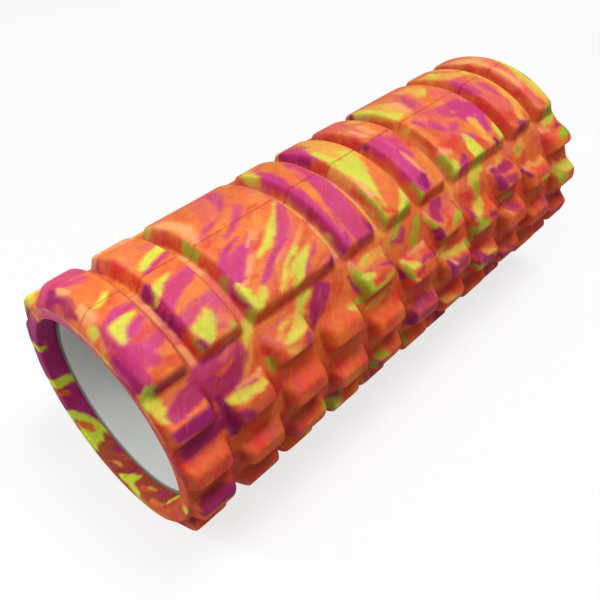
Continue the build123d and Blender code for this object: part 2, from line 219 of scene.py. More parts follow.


# Strokes of coloured foam on the unrolled sleeve, one to a line:
#   letter softness: x phi half-width, x phi half-width, ...
# with x and half-width in mm. Later strokes lie over earlier ones.
# light ribbons along the floors of the grooves: partly the foam's own colour, partly a painted
# highlight
SKIN_STROKES = read_strokes("""
# broad half-mixed areas that lie under everything else
K 3.2: -1 -22 4, 3 -10 5.4, 3 6 4.6
K 2.6: -4 -16 3, -4 -2 3
S 2.8: -38 -24 3, -36 -6 4.4, -35 14 4, -36 30 3.4
S 3: -27 -24 3.2, -26 -10 3.6
S 3.2: 27 -31 6, 30 -18 7, 27 -6 5
S 3: 33 4 4.6, 34 18 5, 31 29 4
R 2.6: 37 6 2.4, 36 26 3.2
K 2.8: 28 -14 2.6, 33 -10 2.2
K 3.2: 54 -28 4, 57 -14 5, 57 -4 3.4
P 3: 62 -26 4, 64 -12 3.6
S 3.2: 72 -26 4, 76 -16 5, 72 -4 4.6, 64 8 4
S 3.2: 60 8 4.6, 67 16 6, 72 26 4.6
R 2.8: 59 24 4, 66 31 4.4, 80 32 3
O 3: 84 -4 3.4, 94 -10 3.6
S 3: 98 -12 3, 97 2 3.4
K 3: 93 -18 4, 88 -12 3.4
K 3: 114 -24 3.4, 118 -16 4.4, 124 -10 3.4
S 3.2: 115 -4 4, 119 10 5.6, 120 25 4.6
R 2.6: 114 28 3.2, 126 33 3.4
R 2: 112 12 1.6, 113 26 2
P 3.2: 145 -24 4, 150 -10 4.6, 148 8 3.6
S 3.2: 150 0 3, 150 14 3.4, 147 30 3
R 2.4: 145 30 2.6, 152 34 2.6
# first band block, top
M 1.8: -160 -30 8, -152 -32 9, -144 -26 6
M 1.8: -160 -22 6, -154 -16 5, -150 -18 3
Y 0.8: -163 -52 3, -158 -60 4, -152 -62 2
O 1.4: -156 -50 2.6, -148 -52 2.6
D 1: -164.5 -66 3, -164.5 -100 3, -164.5 -146 3
L 0.5: -164.5 -109 2.6, -164.5 -113 2.4
L 0.6: -164.5 -138 2.6, -164.5 -160 2.6
B 0.8: -164.5 -162 2.6, -164.5 -172 2.6
O 3: -156 -12 6, -146 -8 7
P 1: -160 -20 1.5, -158 -14 1.2
M 1.8: -158 22 3.2, -152 20 4, -146 21 3.2
M 2: -156 29 3, -149 28 2.4
Y 0.8: -155 1 0.8, -150 -1 1.6, -147 -2.5 0.5
R 1.5: -150 2 1.2, -144 0 1.6
M 1.2: -158 9 1.6, -153 7.5 2.2, -145 8 1.6
Y 0.7: -157 17.5 2.2, -156 14 3.6, -152 12 2.8, -146 11.5 1
Y 0.6: -159 19.5 0.5, -156.5 16 2
M 0.9: -154 19 1.5, -150 16 2.2, -145 15 1.6
R 1.8: -158 22 1.2, -152 21 2, -145 20 2.2
M 2.2: -159 25 4, -152 25.5 3, -145 24.5 2.6
O 1.5: -160 32 1, -155 30 2.4, -145 30 2.6
R 2: -158 34.5 2, -150 33 2, -144 34 2.4
# end bevel of the first band block
D 2: -163 -24 2.2, -162 -10 2, -163 -3 1.6
P 1: -160.5 -3 1.4, -160 4 1.8
Y 0.6: -163.6 9 1.4, -163.4 7 1.4, -163.5 5.5 0.8
K 1: -163.5 14 1.2, -163.3 18 1.6
R 1: -164 17 1.2, -163 20 1
M 1.6: -161 10 1.8, -161.5 22 3, -162 33 3.6
M 1.6: -160 22 3.2, -155 27 4.2, -152 30 2.4
D 1.6: -163 20 0.9, -163.5 34 1.4
G 1.2: -161 38 2.8, -162 41 3
# first groove
O 1: -139 -30 3.2, -139 -2 3.2
S 2: -138.5 3 3.2, -138.5 30 3.4
P 1.2: -138.5 9 2.2, -138 14 2.2
M 2.2: -138.5 16 2, -137.8 22 2.4
O 2: -138 29 3.2, -138 37 3.6
# near wall of the second block
D 1: -134 -34 1.6, -133.5 -25 1.8, -131.5 -18 1
R 1: -134.3 -18 1.6, -134.2 0 1.6
D 0.8: -134.6 4 1.6, -134.5 8 1.6
D 0.9: -134.8 11 2, -134.6 27 2.2
R 1.2: -134.5 29 1.8, -134.2 40 2
G 0.7: -133 32 0.7, -132.6 37 0.9
# second band block, top
P 3: -130 -34 5, -115 -30 4
O 3: -129 -24 6, -114 -18 7
S 3: -118 -15 3, -113 -12 3
Y 0.6: -129 -3.2 0.9, -124 -5.5 1.6, -118 -8 2.4, -112.5 -8.5 3
M 1.4: -129 -1 1, -121 -2.8 1.2, -113 -4.6 0.9
O 2: -131 2 1.6, -113 0.5 2
Y 0.7: -133 10.5 1.3, -130.5 8 2.4, -127 6 1.6, -122 4.5 0.4
M 1.6: -132 15 2.4, -126 11.5 3.6, -117 9.5 3.4, -112.5 8 2.2
M 1.2: -131.5 18 1.6, -126 15 1.6
O 1.4: -130 19.5 1.2, -125 17.3 2.2, -116 16 2.2, -112 16 1.4
M 2.2: -131 24 3, -124 22.5 2.4, -115 22 2
M 2.6: -118 30 4, -115 26 3.4
S 3: -116 30 2.5, -113 34 2.5
Y 0.7: -129.2 33.5 2.4, -128 30.5 3.6, -125.5 28 2
Y 1.6: -127 33 1.6, -124 28.5 3, -121.5 26 1.2
D 0.7: -132.2 33 0.9, -131.6 36 1.2
G 0.6: -116 35.5 1, -114.5 34 1
R 1.2: -113.5 28 1, -112.8 34 1.2
# second groove
O 1: -107.5 -30 3, -107.5 -4 3
P 1.5: -107.5 -2 2.5, -106.5 2 2.5
S 2: -106.8 5 3, -106.8 20 3.2
P 1.5: -106.5 20 1.8, -106.3 26 2
S 2: -107 28 3, -107 34 3
Y 1.8: -112 44 1.2, -108.5 40.5 3, -106.3 37 2.4
# near wall of the double block
Y 1: -103.6 -34 1.4, -102.8 -30 1
R 1: -103.6 -26 1.6, -103.6 -8 1.6
G 0.9: -103.8 -5 1.1, -103.6 3 1.3
R 1: -104 6 1.6, -103.6 14 1.8
G 0.6: -103.4 18 1.4, -104.2 24 1
D 0.8: -103 25 1.6, -103.4 32 1.8
R 0.8: -105 28 0.9, -105 34 1
G 0.7: -103.6 34 0.9, -103.2 39 1
# double block, top: long diagonal smears
P 3: -99 -28 3, -97 -12 3.6, -98 -2 2
S 3: -66 -30 6, -74 -20 6.4, -80 -12 4.4, -90 -6 1.5
M 2.2: -65 -28 2.8, -68 -20 3.2, -71 -14 2.4, -76 -10 0.8
M 1.7: -97 -1 0.7, -90 -4 1.5, -84 -5.5 1.4, -78 -8 0.4
S 2.2: -88 5 0.8, -80 1.5 2.4, -72 -4 3, -64 -10 1.2
M 2: -82 3 0.8, -74 -2 1.6, -68 -6 0.8
M 1.8: -87 4.5 0.9, -80 1 0.7
R 1.4: -98 4.5 0.8, -94 2.5 0.7
R 1.4: -66 -2 0.8, -61 -2.6 0.9
R 2: -55 -16 0.8, -53 -22 1
M 1.3: -102 17 1.2, -99 14 2.6, -94 11 2.2, -88 9 1.6, -84 7.5 0.5
O 0.8: -98 15.6 0.3, -92 12.3 0.7, -86 9.9 0.4
M 1.3: -102 24 2.4, -98 20 3.8, -92 16.4 3.2, -85 13.2 2, -78 11.2 0.7
P 0.8: -84 13 0.4, -79 10.6 0.9, -75 7.6 0.3
P 0.8: -81 15 0.4, -77 12.6 0.8, -72 9.6 0.3
K 0.8: -78 12 0.4, -75 9.4 0.5
R 0.9: -85 17 0.4, -79 14 0.9, -72 10.6 0.4
P 0.8: -94 22.4 0.7, -88 19.4 1.1, -83 16.8 0.4
O 0.9: -92 26 0.7, -86 22.8 1.7, -80 20.2 1.6, -72 17.4 0.6
Y 0.8: -84 19.4 0.3, -77 16.8 1.4, -70 13.2 1.9, -64 9.8 1.6, -58 6 1, -53 3 0.4
K 0.8: -76 18.4 0.4, -68 14.6 0.8, -60 9.6 0.3
S 2.6: -72 20 3, -62 16 4.2, -55 10 3.2
M 1.9: -70 18 1.6, -63 14 3.4, -57 9.6 3.6, -53 6.4 2.6
M 1.4: -93 29.4 0.6, -86 26.4 1.9, -80 23.6 2.3, -74 21 2, -67 19.2 0.8
R 1: -97 27 0.6, -91 25 1
P 0.8: -82 26.6 0.3, -76 24.4 0.6, -70 21.8 0.3
P 0.9: -66 24 0.5, -60 20.8 0.8, -55 18.6 0.4
R 1.8: -62 24.4 1.6, -55 22.6 2
K 1.4: -84 34.4 1.2, -79 31.4 1.8, -74 29.6 1
Y 1.2: -81 31 0.5, -75 28.4 1.8, -70 26 1.7, -65.6 24.8 0.5
R 0.9: -76 30 0.3, -70 27.4 0.5
Y 0.9: -77 36.4 2, -72 32.8 3.2, -66 29.6 2.7, -59.6 26.6 0.5
O 1: -79.5 35.2 1, -76.5 34 0.8
Y 0.8: -101.4 25 1.4, -100 30 2.4, -99 35 2.2
P 1: -99.6 25.6 0.9, -96.4 25 0.6
O 1: -98 30 1, -94 27.4 1.3, -90 26.6 0.6
Y 0.8: -99.4 36.6 1.6, -96 34 2.4, -91.6 31 0.6
K 0.8: -97 31.6 0.6, -93 29.6 0.5
R 1.5: -95 36 1.4, -88 34.6 1.4
R 1.4: -70 37 1.4, -62 34.4 1.8, -54 33 1.6
M 1.3: -70 35.4 0.7, -64 32.2 1.3, -58 29.4 1.1, -54 27 0.6
O 1.2: -62 33 1.4, -54 30.6 2
D 1.8: -58 39.4 1.8, -52 37.6 2
G 1.4: -76 42.5 1.8, -70 41 2
S 1.5: -52 -20 1.2, -52 -10 1.5
# third groove
P 1.5: -44.5 -20 2, -44.5 -4 2
K 1.3: -44.3 2 2.2, -44.2 9 2.2
S 2: -45 12 2.6, -45 22 2.6
K 0.9: -46 22 1.4, -45 24 1.2
Y 0.8: -44.6 26 1.6, -44.2 29.5 2
S 2: -46 33 3, -44 37 3
# near wall of the block after it
R 0.8: -42.2 -30 1.2, -42 -20 1.4
K 0.8: -42 -18 1, -42.2 -12 1
R 0.8: -42.5 -10 1.2, -42.6 0 1.2
D 1.6: -41.4 3 1.6, -41.3 36 2.2
# fourth block, top
Y 1: -41 -20 1.6, -39 -27 2.6, -35 -33 2
K 2: -36 -26 1.4, -32 -32 1.6
M 1.4: -39.5 -14 2.8, -38.5 -2 3.6, -38 16 3.6, -39.5 34 2.6
M 2.4: -36 -21 2.6, -36 -14 3
S 2: -34 -27 2, -32 -22 2.4
O 1.3: -27 -28 4.5, -30 -16 4.2, -32 -4 3.4, -33 6 2.4, -35.5 16 1.3, -37.5 29 1
M 1.6: -23 -16 2, -25 -2 3.6, -26 12 5, -27 24 6.4, -27 34 6.4
S 2: -27 -10 1.6, -28 -2 1.2
D 1.6: -22.5 30 1.4, -22 35 1.6
R 1.2: -21.8 18 0.8, -21.3 32 0.9
# fourth groove
M 1.5: -13.2 -30 1.4, -12.8 -20 1.4
M 1.6: -13 -10 1.2, -13 0 1.2
S 2: -14.2 4 2.2, -14.2 28 2.4
M 1.5: -14 14 1.3, -13.6 20 1.3
K 2: -14 33 1.8, -13.6 40 2
# near wall of the fifth block
D 0.9: -11.2 -32 1.5, -10.8 -12 1.3
R 1: -11.6 -8 1.2, -11.4 -2 1.2
K 1.3: -11.2 2 1, -11 14 1
G 0.8: -10.8 19 1.1, -10.9 36 1.5
R 0.8: -12.2 18 0.7, -12.3 36 0.7
# fifth block, top
M 1.6: -8.5 -30 2.6, -8 -22 3.6, -9 -14 1.8, -9.6 -7 0.5
M 2.4: -4.5 -32 2.4, -3 -26 2.6, -2 -20 1.6
S 2.4: 2 -33 2, 1.5 -26 1.6
K 3: 6 -30 3, 4 -18 4.6, 2 -8 4
Y 0.9: -6 -12 1.8, -6 -6 2.6, -6.5 2 3, -5.5 9 4, -3 16 4, -3.5 23 2
Y 1.6: -1 11 4, 2 6 4.2, 4.5 -2 2.6
Y 0.8: -5 24 1.3, -5.6 32 0.5
Y 1.5: 2 12 1.6, 4 6 1.8, 6 2 1
O 1.3: 8.4 4 1.6, 7 12 2.6, 4 20 3.6, 0 29 4.5
K 2: 8 -3 1.6, 7.5 4 1.4
P 1.3: -8.6 12 0.8, -8 24 1.2
R 1.5: -8 32 1.6, -3 34 1.6
Y 0.9: 9.2 30 1.6, 6 34 2.2, 0 37.5 1.8
G 0.9: 8 36 1.8, 2 39 1.8, -3 40 1
# fifth groove and the wall after it
O 1.4: 17 10 2, 16.6 26 2
K 1: 17.3 16 0.9, 17 22 0.9
O 2: 16 30 2.4, 15 38 2.6
R 1: 18.6 -30 1.2, 18.8 -4 1.2
D 1: 18.6 -3 1, 19 2 1
R 1: 18.8 3 1.4, 19 28 1.3
G 0.8: 19.6 30 1, 19.8 37 1.4
# sixth block, top
S 3: 25 -30 3, 26 -24 3
S 3: 28 -18 3.6, 27 -10 3
P 2.2: 24.5 -12 1.6, 25.5 -4 2
K 3: 36 -22 2, 37 -16 2
P 3: 33 -12 2, 31 -4 1.6
O 2.5: 38 -12 2.4, 37 -4 2.6
M 1.4: 23.5 4 3.6, 24 14 3.4, 24 24 4, 25.5 32 5
M 2.6: 29 3 3, 34 8 2.4
M 2: 31 12 2.2, 33 18 1.6
P 0.8: 28.7 15 0.8, 29.6 23 1, 30.2 28 0.3
D 1.4: 25 31 2.4, 28.5 30 2, 26 34 2
O 1.6: 37.5 17 2.2, 36 26 3.4, 33.5 33 2.8
R 1.2: 39 4 1.2, 39.2 12 1.2
# sixth groove, wall
O 1.5: 48.4 -30 1.8, 48.2 -6 1.8
K 1.4: 48.2 8 1.3, 48.2 20 1.3
O 1.6: 47.8 26 2, 47 38 2.4
D 1: 50.2 -32 1.2, 49.8 -22 1.1
R 1: 49.8 -18 1.1, 49.4 -4 1.1
K 0.9: 49.4 0 1.1, 49.2 14 1.1
R 0.9: 50 8 0.8, 50 22 0.9
G 0.9: 50.2 26 1.2, 50.4 37 1.8
# long double block, top
Y 1.6: 54 -28 4, 53.5 -20 3.6, 54 -10 3.6, 55 -3 3
K 3: 61 -24 3.6, 60 -10 3
O 1.6: 52 1 2.2, 58 -1 2
P 3: 68 -14 2.6, 64 -4 2
O 3: 68 -28 3.6, 74 -24 4
S 3: 82 -26 3.6, 78 -16 3.6
M 2.4: 77 -14 2.4, 73 -7 2.8, 66 2 1.6
P 3: 88 -24 3, 84 -20 2.4
K 2.4: 95 -22 3.6, 92 -14 3.8, 86 -10 2.4
Y 2: 93 -13 1.6, 90 -11 1.4
O 2.4: 99 -22 2, 98 -12 2.2, 92 -4 2.6
S 3: 94 -8 3, 92 0 2.6
S 2.4: 62 4 3, 66 6 2.6
M 1.6: 57 5 1.6, 58 9 1.6
M 2.4: 63 12 3.4, 66 16 2.6
R 2.4: 58 14 2.4, 60 22 3
S 3: 72 8 2.6, 78 3 2
O 2.4: 79 12 3, 82 4 2.4, 86 -2 1.6
M 2.4: 73 19 2.4, 78 17 2
S 3: 70 2 5, 80 8 6, 90 14 4
M 2.6: 80 8 4.4, 90 11 6.4, 99 13 4
M 1.8: 86 18 3.4, 93 20 5, 99 17 3.4
P 1: 84 10 0.6, 92 15 0.9, 97 22 0.4
M 1.8: 86 16 3, 92 9 4, 99 7 2.6
M 1.4: 92 16 3.6, 96 13 4.6, 100 18 2.6
M 1.2: 94 28 1.6, 96 22 3, 99 20 2.4
S 2: 99.5 0 1.4, 100 9 1.4
K 1.4: 88.5 27 2, 88.4 22 2.6, 87.8 19 1.4
O 2.2: 82 18 2.2, 83 26 2.6
P 2: 52.5 25 1.6, 56 27 1.6
R 2.2: 66 24 3, 67 33 3.4
M 1.4: 77 26.5 1.4, 80.5 28.5 1.6
Y 0.8: 75 35 3.4, 74.5 31 3.6, 74.2 27 2.2, 74 25 1.2
P 0.7: 74.5 26 0.8, 75 24.5 0.5
R 1.6: 82.5 31 2.2, 83.5 36 2.4
K 1.4: 88.5 31 1.4, 91 33 1.4
D 1: 93.6 34 1.1, 94 37 1.2
D 1.4: 60.5 35 2.6, 63 32.5 1.6
M 1.6: 57.5 37 2.4, 61 36 2.6
Y 0.8: 99.8 35.5 2.2, 99 31.5 2.6, 100.6 28 1.8
Y 1: 52 36 1.8, 54 32 1.4
G 1.2: 73 38 3, 80 38.5 1.4
G 1.2: 99 38 2, 97 39 1.4
# near wall and top of the block at x 122
O 1: 111 -30 1.2, 110.6 -8 1.2
R 1: 111.2 -2 1.5, 110.8 20 1.5, 111 38 1.7
K 2: 113.6 -20 1.4, 113.2 -12 1.6
K 2.2: 120 -24 2.6, 118 -14 3.4, 117 -10 2.4
Y 2.4: 121 -26 1.6, 117.5 -19 1.8
K 2.6: 129 -28 2.4, 129 -14 2
Y 1.6: 129.4 -9 1.2, 128.6 -5 1.4
M 1.6: 114.5 -5 2.4, 114.5 2 2.8, 113.8 9 1.4
S 3: 118 -5 2.4, 120 0 2
M 2.6: 123.5 6 2, 124 16 1.6
S 3: 116 14 2.6, 117 22 2
S 3: 126 18 1.6, 124 26 1.4
K 2: 130.5 -2 1.4, 130.5 10 1.6, 128.5 24 2.6, 124 33 2.4
D 1.6: 121 36 2.6, 124.5 37 2
R 1.8: 114 35 2.4, 117 38 2.6
# last block
R 1: 142 -30 1.1, 141.6 -8 1.1
R 0.9: 141.8 -4 1.4, 141.6 38 1.6
P 3: 148 -18 2.6, 149 -6 2.6
S 3: 153 -7 2, 152 -2 1.6
P 2.6: 146 4 2.4, 146 18 2.2
S 2.6: 146 25 2.4, 147 33 2.4
Y 1: 158.5 -2 1.2, 157.5 6 2.2, 156.5 14 2.8, 156 22 3.2, 156.5 31 2.6
K 1.6: 151.5 14 1.2, 152 26 1.6, 156 34 2.4
S 0.9: 158 15 0.9, 158 19 0.9
R 1.4: 143.5 35 1.6, 146 38 2
G 1.4: 152 38 2, 158 37 2.6
# light ribbons along the floors of the grooves
P 0.9: -139 0 1.5, -138.6 12 1.9, -138.2 26 1.5
S 1.2: -138.4 20 1.4, -138.2 30 1.6
P 0.9: -138.2 31 1.8, -137.6 38 2
P 1: -108 -6 1.4, -107.2 8 1.8, -106.8 20 1.5
S 1.2: -106.8 12 1.3, -106.8 34 1.5
P 0.9: -45.6 -22 1.4, -45.2 -4 1.6, -44.8 12 1.6
P 1: -45 18 1.3, -44.8 36 1.5
K 0.9: -44.7 4 1.1, -44.6 12 1.1
P 1: -15 -18 1.2, -14.6 0 1.4, -14.4 20 1.5, -14.2 36 1.6
K 1: -14.4 24 1, -14.2 34 1.1
O 0.9: 15.8 -20 1.4, 16 4 1.5, 16.2 34 1.6
P 0.9: 46.6 -18 1.3, 46.8 2 1.4, 47 34 1.6
O 0.9: 107 -20 1.5, 107.2 4 1.5, 107.4 34 1.6
O 0.9: 137.6 -22 1.4, 137.8 0 1.5, 138 34 1.6
# strip below the band, then the first row of small blocks
D 2: -158 39 1, -144 38.5 1
R 2: -132 38.5 2, -112 38.5 2
R 2: -100 39 2.4, -56 40 2.4
R 2: -38 40 1.8, -22 40 1.8
R 2: 22 39 2, 40 39 2
Y 0.8: -161.5 49 1.6, -160 45 2.2, -162 41 2.4
S 1.2: -156 44.5 1, -145 44.2 1
M 1: -158 50 2.2, -150 48 3.6, -143 47 3.8
D 1.4: -160 56 2.8, -150 56 3.4, -143 56 3
D 2.4: -158 66 3.6, -140 65 3.6
M 1.5: -139 43 4, -128 45 6, -118 43.5 3.5
M 1.5: -138 51 4.4, -126 51 4.8, -116 48.5 2.6
R 1.2: -131 47.5 0.7, -122 46.5 0.9
S 1: -127 43 0.8, -118 41.5 1
K 1.8: -122 56 0.8, -114 51 1.2, -108 44 1
R 1.2: -106 50 1.2, -106 55 1
G 1.2: -106.5 56 1.2, -106 60 1
M 0.9: -133 56.2 1.6, -126 56 1.4
P 0.6: -126 57.5 1.2, -113 56.5 1.4
M 0.5: -126 58.2 0.3, -117 57.5 0.5
Y 0.5: -132.5 59 1.4, -124 60 1.6, -115 59.6 1.3
D 1.2: -136 57 2, -135.5 68 2.6, -134 72 3
D 1.8: -131 64 1.8, -128 68 2.6
R 1.8: -124 63.5 1.8, -112 66 3, -112 72 3
S 1: -103 46 1.4, -100 51 1.6
S 0.9: -97 45.2 1, -85 45 1
K 0.7: -98 49.5 0.8, -90 47 1.2, -84 46.5 0.8
Y 0.5: -93 47.4 0.7, -88 47 0.6
R 0.6: -95 50 0.5, -86 48.8 0.6
Y 0.8: -97 52 0.9, -90 51.6 1.6, -83 49.4 2.4, -77 44.5 1.8, -70 42 1.4
K 1.6: -99 55 1.8, -94 57 1.6
D 1.2: -87.5 58 1.6, -85 55 1.6
R 1.2: -101 54 1, -101 60 1.4
M 1: -76 55 2, -70 50 4.6, -62 45 4
D 1.2: -76 54 1.2, -73 51 1.4
R 2.4: -55 50 3, -50 44 3.4
Y 0.8: -54 59 1, -50 60 1.2
# rows one and two further along
O 2: -48 52 2, -46 46 2
D 1.6: -44.6 48 1.2, -44.4 55 1.4
P 1: -40 43 1.4, -39 48 1.6
K 1.4: -36 47 2, -28 46 3, -19 46 2.4
Y 1.8: -35 46 1, -28 45 1.4
S 0.9: -36 50 0.9, -26 50 0.9
G 0.7: -41 46 1.2, -40.5 52 2.4, -40.5 58 2
Y 0.9: -39 51 1.4, -35 51.5 1
R 0.9: -35 53.5 1, -27 53.5 1.4
M 1: -26 51.5 0.9, -19 52.5 1.8, -16 56 1.6
G 0.8: -38 57 1, -29 56.8 0.9, -22 54.8 0.7
R 1.2: -38 59.5 1.2, -24 58 1.4
Y 1.4: -51 60.5 1.6, -46 59 1.2
G 1.2: -46 59 1.4, -43 61 1.2
G 1.6: -14 47 1.2, -6 44 1.4, 1 40.5 1.6
M 2.6: -10 47 1.6, -4 48 2.8, 1 45 2.2
G 1.8: 4 54 2.4, 8 49 2.6, 14 43 1.6
D 1.4: -13 57 1, -13 64 1.2
Y 0.8: -9 58 1.8, -7 60 2.2, -3 61 1
G 1: -10.6 60 1.2, -10.2 65 1
P 1: -3 56.5 1.2, 10 56.5 1.4
P 0.7: -5 59 0.5, 2 58.6 0.5
M 0.9: 0 61.5 0.8, 8 61 1.2
M 1.1: -6 64.5 1.2, -1 64 1
Y 0.8: -9 66 1, -6 67 0.7
M 1.6: 14 62 1.6, 16 68 1.4
G 0.9: 18.8 46 0.9, 19.6 53 1.1
D 1.2: 19.6 54 1.4, 20 58 1.4
P 0.8: 20.6 44 1, 21 47 1
M 1.2: 25 49 3, 30 45 3, 36 44 2.4
S 2.4: 33 49 2, 40 45 2.4
G 0.9: 31 55.5 1, 36 54 2, 41 52 1.6
R 1.2: 24 55 1.4, 31 52 1
P 1.6: 46 47 1.2, 47 55 1.6
K 2.2: 46 42 1.6, 45 46 1.6
R 2: 53 50 2.6, 60 52 2.4
M 1: 52 57 1.4, 52 61 1.4
Y 0.9: 55 60 1.3, 60 57 2.2, 66 55.5 1
G 0.9: 53.5 62 1.4, 55 66 2.6, 59 67 1.4
R 1: 57 62 0.9, 66 61.5 1.2
M 1.4: 64 64 1.4, 69 66 1.8
Y 1.8: 66 46 3.2, 71 43 4.2, 76 42 2.4
G 1.8: 65 53 1.8, 68 49 2.6
P 1: 82 45.5 1.2, 85 45 1.2
M 1: 84 48 2.4, 90 49.5 2.2, 98 49 2.4
P 0.8: 88 46.5 0.6, 92 47 0.6
K 1.2: 93 45 2, 97 43.5 2.2
D 1.4: 82.5 52 2.4, 83 57 2.6
M 2.2: 87 54 2.8, 95 56 3
S 2.2: 103 46 2.6, 106 40 3
K 2.6: 114 47 3.2, 120 45 3.4
G 2.4: 112 47 1, 116 46 1.4
D 1: 111.5 58 1.2, 112.5 62 1.2
P 1: 114 57.5 1.6, 120 56.5 1.4
K 1.4: 121 59 1.4, 133 58 2
S 2: 125 64 2.2, 130 65 2
G 1.4: 122 67 0.8, 128 68 0.8
P 1.4: 144 45 1.6, 148 47 1.6
Y 1.2: 150 43 2, 156 43 3, 161 42 2.6
G 1.4: 158 39 2, 162 40 2
M 0.9: 155 49 0.9, 161 48 1.2
G 1: 152 53.5 1.6, 157 53 2.6, 162 52.5 2.4
R 1.4: 143 49 2, 144 55 2.2
# rows three to five
R 3: -160 76 4, -144 78 4
M 1.4: -152 68.6 0.8, -142 68 0.9
K 2.4: -42 66 1.2, -22 64 1.8
K 2.2: 20 67 1.4, 24 66 1.6
G 2: 25 63 0.8, 34 63 0.8
Y 1: 22 69.5 0.7, 30 70.5 1.4, 44 71.5 2, 48 77 1
D 1.2: 23 74 2.6, 24 79 3
M 1.8: 28 76 3, 36 77 3.2
P 0.8: 25 72 0.5, 28 75 0.6
R 2.4: -2 72 3, 14 76 3
M 2.4: -8 83.5 1.6, 8 84 2
D 1.2: -11 84 1.2, -11 92 1.4
M 2.6: -6 88 2.2, 6 89 2.4
M 1.6: 13 88 1.4, 19 92 1.6, 20 97 1
G 1.2: 50.5 66 1.2, 51 74 1
M 1.4: 53 83.5 1.8, 58 87 2.8, 66 91 2.8
K 1: 58 83.5 0.7, 66 85.5 1.3, 71 87 1
G 1.2: 50.5 89 1.4, 56 92 1.4
D 0.8: 51 84 0.8, 51.2 88 0.8
G 2.4: 86 65 1.2, 96 65 1.2
M 2.4: 82 67 1.4, 96 68 1.2
P 1.2: 84 71 1, 87 73 0.9
M 2.2: 90 71 1.8, 95 73 1.6
R 2: 82 76 2, 84 80 2
R 2.6: 112 85 3.6, 124 89 3.6
M 2.2: 126 88 1.4, 131 84 1.8, 138 86 1.4
M 2: 142 89 1.6, 152 91 2, 160 93 2
Y 1: 146 70.5 1.4, 154 72 2.4, 162 72 2.2
G 1: 143.5 71 1.6, 145 75 2.6, 152 77 1.4
K 1: 147 68.4 1, 150 69 0.8
D 1.6: -160 96 2.6, -150 97 3, -143 98 2.6
M 1.4: -158 94 1, -148 94.5 1
G 1.2: -82 96 1.6, -80 98 1.6
D 1.6: -74 103 1.4, -66 105 1.4
G 0.9: -72.5 106 1.2, -71.5 112 1.2
G 1.2: -39 95 1.4, -33 96 1
D 1.2: -40 98 1.6, -38 101 1.6
G 0.9: -41.6 98 1, -41.4 103 1
G 0.9: -10.4 102 1, -10 108 1
K 2: 22 96 1.4, 36 99 2.4
D 1.6: 83 97 1.8, 88 100 2
M 2: 88 96 1.4, 96 99 1.6
D 1.8: 144 97 1.6, 156 99 1.8
""")

# strokes of both ends, as above but with u in place of x:
# u > 0 is mm outwards over the end face, u < 0 mm down the bore wall
RING_STROKES = read_strokes("""
P 2: 6 -62 9, 6 -30 9, 6 6 7
M 1.8: 3 -34 2.4, 4 -18 3.2, 3 -6 2
M 2: 9 -50 3, 8 -34 3
O 1.6: 4 -48 3, 5 -40 3
K 0.9: 5 13 1.6, 7 18 2.8, 9 22 1.6
L 0.7: 3 16 1, 5 20 1.4
R 1: 2 22 1.6, 3 27 1.8
M 1.2: 7 23 3, 9 29 4, 8 35 3
D 1.4: 4 28 2, 6 36 3, 8 41 2
O 1.2: 3 39 2.4, 4 47 3, 5 54 2.4
R 1.6: 3 56 4, 4 70 4
D 1.4: 8 62 4, 9 78 4
R 1.8: 5 82 5, 5 98 6
L 0.8: 1 101 2.6, 4 104 3, 7 107 1.6
D 0.9: 8 114 2.2, 9 119 3, 9 124 2
R 1.2: 4 128 6, 5 150 6, 5 168 6
O 1.4: 6 140 3, 7 156 3.6
L 0.8: 1 173 1.8, 4 168 1.6, 8 160 1
D 1.2: 6 -70 7, 6 -140 7
R 1.4: 6 -150 7, 6 -176 7
# bore wall
V 0.8: -5 -56 7, -5 -82 7, -5 -108 7
M 2.2: -4 -62 1.4, -5 -74 1
M 2.4: -7 -92 1.6, -6 -104 1
L 0.5: -0.4 -84.5 2.2, -2.8 -84 1.2
R 0.9: -4.2 -80 0.8, -3.4 -87 1
L 0.45: 0.5 -110.5 2.8, -4 -112.3 3.1, -9.8 -113.6 2.6
V 0.6: -6 -120 5, -7 -132 6, -8 -145 5.4
V 0.8: -1.5 -121 2.6, -2 -128 2.6
R 0.6: -1 -118 2.2, -4 -119.5 1.8
M 1.4: -5 -128 1, -7 -134 0.8
L 0.45: -0.6 -131 1.2, -3.6 -136.5 2.6, -5 -144 4.6, -5.2 -151 5.8, -4 -159 2.6
L 0.5: -0.5 -141 2.4, -1 -158 2.6
R 0.5: -1.8 -139.5 1.5, -4.2 -143.2 2
R 0.5: -3.5 -146 0.5, -4.6 -147 0.6
B 0.9: -6 -163 8, -6 -172 8, -6 -181 8
V 0.8: -8.6 -156 1.6, -9 -164 1.4
B 0.8: -8.4 -153 1.6, -7 -160 2.6
K 1.2: -3 -169 0.6, -4 -172 0.7
V 0.8: -4 -181 2.6, -8 -182.5 3.2
B 0.9: -6.5 173 6, -6 160 7, -7 141 6
L 0.5: 0.4 181 2.6, -3 176.5 3.4, -7 173.5 1
L 0.6: -0.5 173 1.8, 0.6 166 1.4
R 1.2: -3.4 166 1.6, -5 160 1
K 1: -6 163 0.5, -6.6 158 0.7
M 1.4: -6 153 1.8, -7 148 1.2
O 1.2: -1.5 154 1.4, -1.5 142 1.6
L 0.5: -4.6 140 1.8, -7 138 2.8, -9.6 136.5 2.4
V 0.4: -5.4 136.5 0.9, -6.4 134.2 0.8
R 1.4: -5 130 8, -5 96 8, -5 60 8
V 1.2: -6 120 3, -7 108 3
M 1.8: -5 50 8, -5 -10 8, -5 -40 8
O 1.6: -5 34 6, -5 20 6
""")


